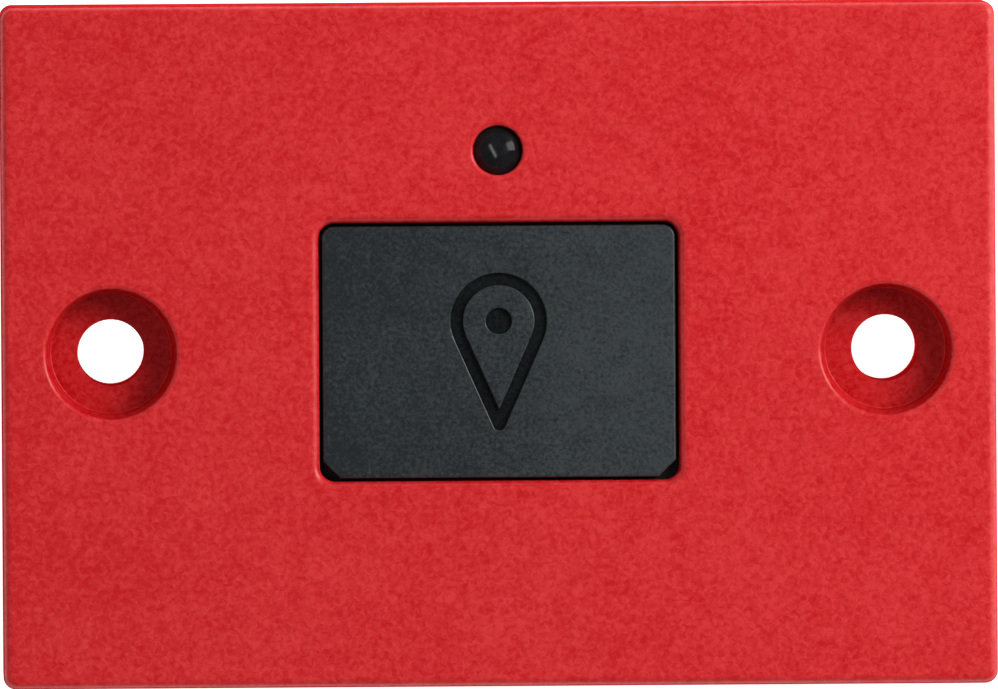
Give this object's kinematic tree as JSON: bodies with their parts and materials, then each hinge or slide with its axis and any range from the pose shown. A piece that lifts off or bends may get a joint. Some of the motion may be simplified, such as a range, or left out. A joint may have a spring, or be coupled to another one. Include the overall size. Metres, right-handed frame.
{
  "type": "bluetooth tracker tag",
  "caption": "Flat rectangular tracker tag with a sealed moulded case, a central push button, a status light and a counterbored mounting hole near each end.",
  "frame": {"origin": "middle of the tag's flat back face", "axes": "+X along the tag's length, from one mounting hole to the other, +Y across its width towards the status light, +Z out of the button face"},
  "size_m": [0.0462, 0.0318, 0.008],
  "materials": {
    "case_front": "fine spark-eroded grain",
    "case_rear": "fine spark-eroded grain",
    "label": "matt polyester film",
    "gasket": "soft silicone",
    "screws": "plain stainless",
    "button": "fine matte grain",
    "membrane": "soft silicone",
    "retainer": "moulded",
    "plunger": "satin",
    "dome": "stamped",
    "switch_frame": "moulded",
    "lens": "polished smoked lens",
    "lens_seal": "soft silicone",
    "led": "clear resin",
    "board": "solder mask over glass fibre",
    "chip": "moulded epoxy",
    "antenna": "fired ceramic",
    "small_inductors": "fired ceramic",
    "crystal": "plated can",
    "inductor": "ferrite",
    "capacitors": "fired ceramic",
    "resistors": "glazed",
    "tantalum": "moulded epoxy",
    "film": "polyimide film",
    "tab": "nickel strip",
    "foam": "closed-cell foam",
    "cell_metal": "stainless sheet",
    "cathode": "pressed powder",
    "separator": "non-woven",
    "anode": "soft metal foil",
    "grommet": "moulded"
  },
  "bodies": {
    "case": {"front_housing": "case_front", "rear_cover": "case_rear", "rear_label": "label", "housing_gasket": "gasket", "cover_screws": "screws", "button_membrane": "membrane", "membrane_retainer": "retainer", "switch_dome": "dome", "switch_frame": "switch_frame", "led_lens": "lens", "lens_seal": "lens_seal", "status_led": "led", "circuit_board": "board", "radio_chip": "chip", "chip_antenna": "antenna", "antenna_inductors": "small_inductors", "main_crystal": "crystal", "clock_crystal": "crystal", "accelerometer": "chip", "supply_inductor": "inductor", "capacitors": "capacitors", "resistors": "resistors", "bulk_capacitor": "tantalum", "insulating_film": "film", "positive_tab": "tab", "negative_tab": "tab", "cell_foam_pad": "foam", "cell_can": "cell_metal", "cell_cathode": "cathode", "cell_separator": "separator", "cell_anode": "anode", "cell_grommet": "grommet", "cell_cap": "cell_metal"},
    "button": {"button_cap": "button", "switch_plunger": "plunger"}
  },
  "joints": [
    {"name": "button_press", "type": "slide", "parent": "case", "child": "button", "axis": [0, 0, -1], "range_m": [0, 0.0002], "stiffness_N_per_m": 4000, "springref_m": -0.0002, "deforming": ["button_membrane", "switch_dome"]}
  ]
}
